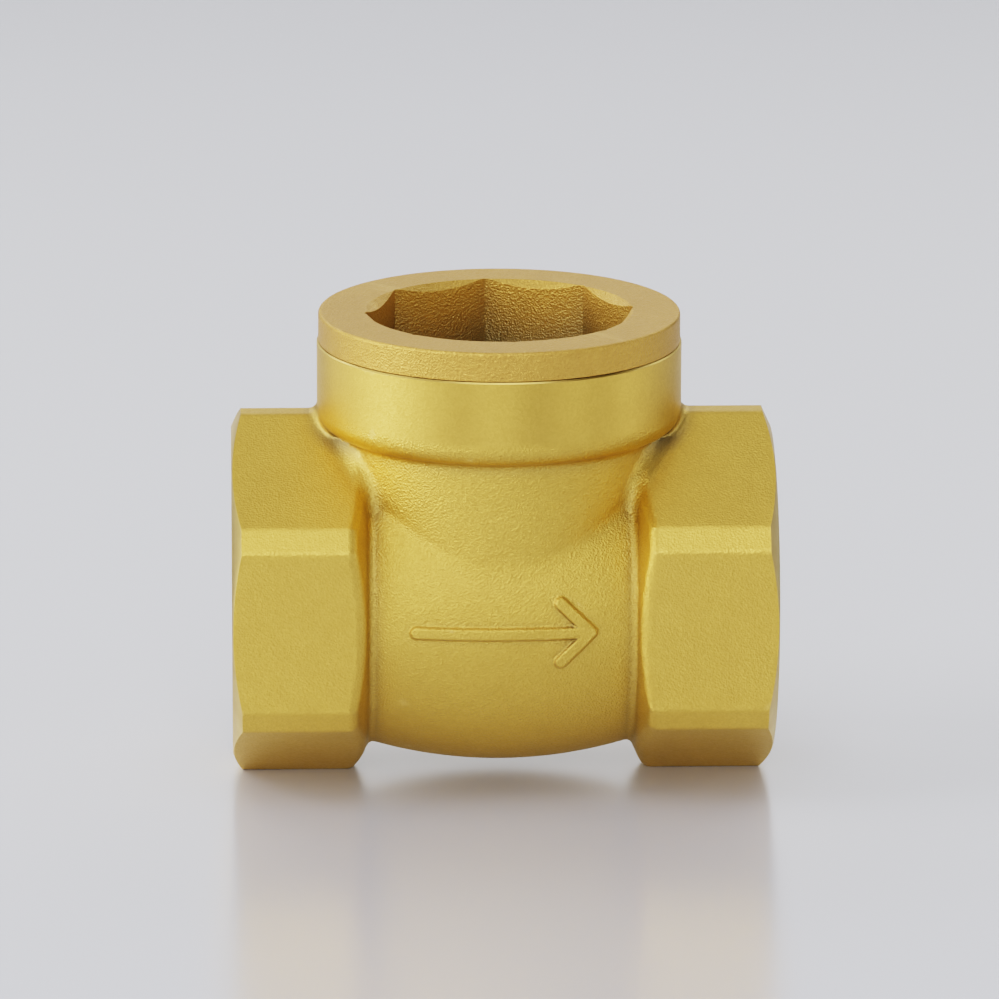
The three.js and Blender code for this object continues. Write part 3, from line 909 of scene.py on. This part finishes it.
def split_pin(steel):
    """Half-round wire folded over itself: an eye above the stud and two legs spread below it.

    leg, eye and path list (y, z).
    """
    wire = SPLIT_PIN_RADIUS - 0.06
    eye_radius = 0.5
    eye_z = STUD_RADIUS + 0.45 + eye_radius + wire
    gap = 0.02
    leg = [(1.5, -STUD_RADIUS - 0.9), (0.5, -STUD_RADIUS - 0.6), (gap, -STUD_RADIUS + 0.1),
           (gap, STUD_RADIUS), (gap, STUD_RADIUS + 0.4)]
    eye = [(eye_radius * math.sin(a), eye_z - eye_radius * math.cos(a))
           for a in np.radians(np.arange(40, 321, 20))]
    path = smoothed(leg + eye + [(-y, z) for y, z in reversed(leg)])
    along = np.gradient(path, axis=0)
    along /= np.linalg.norm(along, axis=1, keepdims=True)
    outward = np.stack([along[:, 1], -along[:, 0]], axis=1)
    half_round = [(wire * math.sin(a), wire * math.cos(a)) for a in np.linspace(0, math.pi, 9)]
    points = []
    for (y, z), (out_y, out_z) in zip(path, outward):
        for out, across in half_round:
            points.append((SPLIT_PIN_X + across, y + out * out_y, z + out * out_z))
    count = len(half_round)
    faces = [list(range(count)), list(range(len(points) - 1, len(points) - count - 1, -1))]
    for row in range(0, len(points) - count, count):
        for k in range(count):
            after = (k + 1) % count
            faces.append([row + k, row + count + k, row + count + after, row + after])
    return shade(make_object("split_pin_wire", points, faces, steel), angle=50)


# -------------------- materials

def add_node(tree, kind, inputs=None, **settings):
    """A shader node. Each input is a value, or the output socket that it is linked to."""
    made = tree.nodes.new("ShaderNode" + kind)
    for name, value in settings.items():
        setattr(made, name, value)
    for key, value in (inputs or {}).items():
        if isinstance(value, bpy.types.NodeSocket):
            tree.links.new(value, made.inputs[key])
        else:
            made.inputs[key].default_value = value
    return made


def rescaled(tree, value, from_low, from_high, to_low, to_high):
    """A value moved from one range to another, and kept inside it."""
    return add_node(tree, "MapRange", {
        "Value": value, "From Min": from_low, "From Max": from_high,
        "To Min": to_low, "To Max": to_high}).outputs["Result"]


def noise(tree, place, size, detail):
    """Noise whose features are about this many millimetres across."""
    return add_node(tree, "TexNoise", {
        "Vector": place, "Scale": 1 / (size * MM), "Detail": detail, "Roughness": 0.55,
    }).outputs["Fac"]


def mixed(tree, share, a, b):
    """Two colours mixed. A colour Mix node's sockets share their names, so they go by number."""
    return add_node(tree, "Mix", {0: share, 6: a, 7: b}, data_type="RGBA").outputs[2]


def added(tree, *values):
    result = values[0]
    for value in values[1:]:
        result = add_node(tree, "Math", {0: result, 1: value}, operation="ADD").outputs[0]
    return result


def scaled(tree, value, factor):
    return add_node(tree, "Math", {0: value, 1: factor}, operation="MULTIPLY").outputs[0]


def new_material(name):
    """A material, its node tree, its shader, and the place on the piece, in metres."""
    material = bpy.data.materials.new(name)
    material.use_nodes = True
    tree = material.node_tree
    shader = tree.nodes["Principled BSDF"]
    place = add_node(tree, "TexCoord").outputs["Object"]
    return material, tree, shader, place


def set_inputs(shader, values):
    for name, value in values.items():
        shader.inputs[name].default_value = value


def finish_shader(tree, shader, color, roughness, height, depth, strength=1.0):
    """Links a colour, a roughness and a bump height of this many millimetres."""
    bump = add_node(tree, "Bump", {"Height": height, "Distance": depth * MM, "Strength": strength})
    tree.links.new(color, shader.inputs["Base Color"])
    tree.links.new(roughness, shader.inputs["Roughness"])
    tree.links.new(bump.outputs["Normal"], shader.inputs["Normal"])


def edge_wear_and_corner_shade(tree):
    """Pointiness: above 0.5 on convex edges, where wear goes, and below it in corners, where machined
    metal gets painted shade.
    """
    return add_node(tree, "NewGeometry").outputs["Pointiness"]


def sheltered(tree, reach):
    """How deep in a corner the surface is, for painted shade: 0 where it is open and up to 1 deep in a
    corner, looking this many millimetres.
    """
    shelter = add_node(tree, "AmbientOcclusion", {"Distance": reach * MM}, samples=6, only_local=True)
    return rescaled(tree, shelter.outputs["AO"], 0.9, 0.5, 0.0, 1.0)


def blasted_brass(name, color, shadow_color, worn_color, painted_shade_and_tarnish, reach, smooth=None):
    """Shot-blasted brass: fine dimples, mottled colour, rubbed edges, and painted shade in a tarnish
    colour in the corners.

    The painted shade and tarnish look reach millimetres around them. smooth gives two places in metres:
    the metal is smoother farther than the first from the middle of the flow axis, and nearly smooth
    above the second.
    """
    roughness = 0.44
    dimple_size, dimple_depth = 0.27, 0.075
    coined_strength, turned_strength = 0.45, 0.18
    material, tree, shader, place = new_material(name)
    cells = add_node(tree, "TexVoronoi", {"Vector": place, "Scale": 1 / (dimple_size * MM)})
    dimples = cells.outputs["Distance"]
    tint = add_node(tree, "SeparateColor", {"Color": cells.outputs["Color"]}).outputs["Red"]
    grain = noise(tree, place, 0.20, detail=2.0)
    mottle = noise(tree, place, 2.5, detail=4.0)
    drift = noise(tree, place, 14, detail=2.0)
    wear = edge_wear_and_corner_shade(tree)

    stain = added(tree, scaled(tree, mottle, 0.5), scaled(tree, drift, 0.5))
    colors = mixed(tree, rescaled(tree, stain, 0.38, 0.62, 0.0, 0.25), color, shadow_color)
    colors = mixed(tree, rescaled(tree, tint, 0.0, 1.0, 0.0, 0.36), colors, shadow_color)
    # Painted shade: corners and recesses that ambient occlusion finds are darkened towards the tarnish
    # colour.
    colors = mixed(tree, scaled(tree, sheltered(tree, reach), 0.9), colors, painted_shade_and_tarnish)
    colors = mixed(tree, rescaled(tree, wear, 0.52, 0.60, 0.0, 0.4), colors, worn_color)

    rough = added(tree, roughness - 0.08, scaled(tree, grain, 0.10), scaled(tree, tint, 0.06))
    height = added(tree, dimples, grain, scaled(tree, mottle, 0.3))
    strength = 1.0
    if smooth:
        coined_from, turned_from = smooth
        position = add_node(tree, "SeparateXYZ", {0: place}).outputs
        from_middle = add_node(tree, "Math", {0: position["X"]}, operation="ABSOLUTE").outputs[0]
        on_ends = rescaled(tree, from_middle, coined_from, coined_from + 2 * MM, 1.0, coined_strength)
        on_neck = rescaled(tree, position["Z"], turned_from, turned_from + MM, 1.0, turned_strength)
        strength = add_node(tree, "Math", {0: on_ends, 1: on_neck}, operation="MINIMUM").outputs[0]
    set_inputs(shader, {"Metallic": 1.0, "Coat Weight": 0.2, "Coat Roughness": 0.45})
    finish_shader(tree, shader, colors, rough, height, dimple_depth, strength)
    return material


def machined_metal(name, axis, color, shadow_color, roughness):
    """Turned metal: fine rings around an axis, with soft stains over them, and painted shade in its
    corners.
    """
    mark_size, mark_depth = 0.16, 0.012
    material, tree, shader, place = new_material(name)
    kept = [0.0 if letter == axis else 1.0 for letter in "xyz"]
    across = add_node(tree, "VectorMath", {0: place, 1: kept}, operation="MULTIPLY").outputs["Vector"]
    radius = add_node(tree, "VectorMath", {0: across}, operation="LENGTH").outputs["Value"]
    along = add_node(tree, "SeparateXYZ", {0: place}).outputs[axis.upper()]
    rings = add_node(tree, "CombineXYZ", {0: radius, 1: along}).outputs[0]
    marks = noise(tree, rings, mark_size, detail=3.0)
    stain = noise(tree, place, 3.0, detail=4.0)
    colors = mixed(tree, rescaled(tree, stain, 0.35, 0.65, 0.0, 0.5), color, shadow_color)
    # Painted shade: the shadow colour mixed into concave corners.
    colors = mixed(tree, rescaled(tree, edge_wear_and_corner_shade(tree), 0.5, 0.42, 0.0, 0.4), colors, shadow_color)
    rough = added(tree, roughness - 0.1, scaled(tree, marks, 0.1), scaled(tree, stain, 0.1))
    set_inputs(shader, {"Metallic": 1.0})
    finish_shader(tree, shader, colors, rough, marks, mark_depth)
    return material


def machined_brass(name, axis):
    return machined_metal(name, axis, (0.86, 0.62, 0.20, 1), (0.72, 0.48, 0.13, 1), 0.34)


def matt_solid(name, color, pale_color, roughness, grain_size, depth, stretch=(1, 1, 1)):
    """Rubber or pressed fibre: a fine grain, dusty patches and rubbed edges."""
    material, tree, shader, place = new_material(name)
    stretched = add_node(tree, "VectorMath", {0: place, 1: stretch}, operation="MULTIPLY").outputs[0]
    grain = noise(tree, stretched, grain_size, detail=4.0)
    patches = noise(tree, place, 4.0, detail=3.0)
    colors = mixed(tree, rescaled(tree, patches, 0.4, 0.7, 0.0, 0.35), color, pale_color)
    colors = mixed(tree, rescaled(tree, grain, 0.4, 0.7, 0.0, 0.4), colors, pale_color)
    colors = mixed(tree, rescaled(tree, edge_wear_and_corner_shade(tree), 0.52, 0.6, 0.0, 0.4), colors, pale_color)
    rough = added(tree, roughness - 0.08, scaled(tree, grain, 0.16))
    finish_shader(tree, shader, colors, rough, grain, depth)
    return material


# -------------------- stage

FLOOR_COLOR = (0.70, 0.72, 0.83, 1)
FLOOR_SHADE = (0.685, 0.705, 0.813, 1)
FLOOR_ROUGHNESS = 0.22
FLOOR_FADE_START = 0.5  # metres from the object
FLOOR_FADE_END = 1.0
BACKDROP_COLOR = (0.55, 0.56, 0.58, 1)
CAMERA_DISTANCE = 0.984
CAMERA_ELEVATION = math.radians(15.0)
CAMERA_YAW = math.radians(-1.95)
CAMERA_ROLL = math.radians(0.15)
CAMERA_LENS = 287.9
CAMERA_TARGET = FLOW_AXIS + Vector((-0.2, 0, 11.3)) * MM
LIGHT_DISTANCE = 1.7
LIGHTS = {
    # name: degrees to the right of the front, degrees up, width, height, power in watts
    "left": (-80, 12, 0.9, 0.55, 8.6),
    "left_high": (-80, 40, 0.9, 0.7, 8.1),
    "left_back": (-115, 14, 0.9, 0.8, 4.6),
    "left_front": (-50, 12, 0.8, 0.5, 3.5),
    "front_mid": (-5, 22, 0.9, 0.4, 7.2),
    "front_high": (-5, 42, 0.9, 0.6, 2.6),
    "front_top": (0, 65, 1.0, 0.7, 3.9),
    "right_front": (45, 12, 0.8, 0.5, 2.2),
    "right_front_high": (45, 40, 0.9, 0.7, 1.2),
    "right": (85, 14, 0.8, 0.8, 3.4),
    "right_back": (115, 14, 0.9, 0.8, 1.2),
    "top": (0, 89, 1.0, 1.0, 4.0),
    "back_left": (-145, 38, 1.0, 0.8, 5.5),
    "back": (180, 42, 1.2, 0.8, 1.1),
    "back_right": (145, 38, 1.0, 0.8, 4.2),
    "back_low": (180, 17, 1.9, 0.6, 3.5),
}


def floor_material():
    """A pale, half-gloss table top that fades into the backdrop far from the object."""
    material, tree, shader, place = new_material("pale_floor")
    patches = noise(tree, place, 180, detail=2.0)
    grain = noise(tree, place, 3.0, detail=3.0)
    colors = mixed(tree, rescaled(tree, patches, 0.3, 0.7, 0.0, 1.0), FLOOR_COLOR, FLOOR_SHADE)
    rough = added(tree, FLOOR_ROUGHNESS - 0.02, scaled(tree, patches, 0.04))
    set_inputs(shader, {
        "IOR": 1.8, "Coat Weight": 1.0, "Coat IOR": 1.6, "Coat Roughness": FLOOR_ROUGHNESS})
    finish_shader(tree, shader, colors, rough, grain, 0.002)
    distance = add_node(tree, "VectorMath", {0: place}, operation="LENGTH").outputs["Value"]
    far = rescaled(tree, distance, FLOOR_FADE_START, FLOOR_FADE_END, 0.0, 1.0)
    backdrop = add_node(tree, "Emission", {"Color": BACKDROP_COLOR})
    fade = add_node(tree, "MixShader", {0: far, 1: shader.outputs[0], 2: backdrop.outputs[0]})
    tree.links.new(fade.outputs[0], tree.nodes["Material Output"].inputs["Surface"])
    return material


def point_at(piece, place, target):
    piece.location = place
    piece.rotation_euler = (Vector(target) - Vector(place)).to_track_quat("-Z", "Y").to_euler()


def direction(across, up):
    """A unit vector turned to the right of the front, then up, by angles in radians."""
    return Vector((math.sin(across) * math.cos(up), -math.cos(across) * math.cos(up), math.sin(up)))


def place_camera():
    """A long lens, 15 degrees above the floor and a little to the left of the front."""
    data = bpy.data.cameras.new("camera")
    data.sensor_width = 36
    data.lens = CAMERA_LENS
    data.clip_start, data.clip_end = 0.05, 50
    camera = in_scene("camera", data)
    towards = direction(CAMERA_YAW, CAMERA_ELEVATION)
    point_at(camera, CAMERA_TARGET + towards * CAMERA_DISTANCE, CAMERA_TARGET)
    camera.rotation_euler.rotate_axis("Z", CAMERA_ROLL)
    bpy.context.scene.camera = camera


def place_lights():
    """Soft boxes on a sphere around the object, all facing it."""
    for name, (across, up, width, height, power) in LIGHTS.items():
        data = bpy.data.lights.new(name, "AREA")
        data.shape = "RECTANGLE"
        data.size, data.size_y = width, height
        data.energy = power
        towards = direction(math.radians(across), math.radians(up))
        point_at(in_scene(name, data), FLOW_AXIS + towards * LIGHT_DISTANCE, FLOW_AXIS)


def place_world():
    """A pale backdrop that the camera sees behind the floor, and that lights nothing."""
    world = bpy.data.worlds.new("studio")
    bpy.context.scene.world = world
    world.use_nodes = True
    tree = world.node_tree
    background = tree.nodes["Background"]
    set_inputs(background, {"Color": BACKDROP_COLOR})
    seen = add_node(tree, "LightPath").outputs["Is Camera Ray"]
    tree.links.new(seen, background.inputs["Strength"])


def place_floor():
    reach = 6000
    corners = [(-reach, -reach, 0), (reach, -reach, 0), (reach, reach, 0), (-reach, reach, 0)]
    make_object("floor", corners, [(0, 1, 2, 3)], floor_material())


# -------------------- assembly

def assemble(piece, body, slot, node):
    """Lifts a finished piece to its place over the floor, on a body, in place of a CAD node."""
    piece.data.transform(Matrix.Translation(FLOW_AXIS))
    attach(piece, body)
    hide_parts(node)


# Painted shade in corners reaches 2.5 mm on the forging, and 10 mm on the cap so that its key socket's
# walls come out dark.
forged = blasted_brass(
    "forged_brass", color=(0.752, 0.498, 0.110, 1), shadow_color=(0.58, 0.36, 0.075, 1),
    worn_color=(0.84, 0.62, 0.20, 1), painted_shade_and_tarnish=(0.20, 0.17, 0.10, 1), reach=2.5,
    smooth=(CREASE_X * MM, FLOW_AXIS.z + (NECK_BOTTOM + NECK_ROUNDING) * MM))
capped = blasted_brass(
    "cap_brass", color=(0.685, 0.416, 0.103, 1), shadow_color=(0.51, 0.288, 0.067, 1),
    worn_color=(0.80, 0.54, 0.17, 1), painted_shade_and_tarnish=(0.20, 0.19, 0.12, 1), reach=10.0)
bored = machined_brass("bored_brass", "x")
turned_up = machined_brass("turned_brass", "z")
steel = machined_metal("stainless_steel", "x", (0.62, 0.61, 0.59, 1), (0.48, 0.47, 0.46, 1), 0.32)
rubber = matt_solid("nitrile_rubber", (0.012, 0.012, 0.013, 1), (0.05, 0.05, 0.05, 1),
                    roughness=0.62, grain_size=0.3, depth=0.02)
fibre = matt_solid("fibre_gasket", (0.055, 0.038, 0.026, 1), (0.12, 0.09, 0.065, 1),
                   roughness=0.85, grain_size=0.5, depth=0.05, stretch=(1, 1, 4))

for piece, body, slot, node in (
    (valve_body(forged, bored), "valve", "forged_brass", "valve_body"),
    (gasket_piece(fibre), "gasket", "fibre_gasket", "cap_gasket"),
    (cap_piece(capped, turned_up), "cap", "machined_brass", "cap"),
    (hinge_pin(steel), "pin", "stainless_steel", "hinge_pin"),
    (hinge_arm(forged, bored), "arm", "forged_brass", "hinge_arm"),
    (disc_piece(bored), "clapper", "machined_brass", "disc"),
    (seal_piece(rubber), "clapper", "nitrile_rubber", "disc_seal"),
    (seal_retainer(bored), "clapper", "machined_brass", "seal_retainer"),
    (retainer_screw(steel), "clapper", "stainless_steel", "retainer_screw"),
    (disc_washer(steel), "clapper", "stainless_steel", "disc_washer"),
    (disc_nut(bored), "clapper", "machined_brass", "disc_nut"),
    (split_pin(steel), "clapper", "stainless_steel", "split_pin"),
):
    assemble(piece, body, slot, node)

place_floor()
place_lights()
place_world()
place_camera()
bpy.context.scene.view_settings.view_transform = "Filmic"
bpy.context.scene.view_settings.look = "High Contrast"
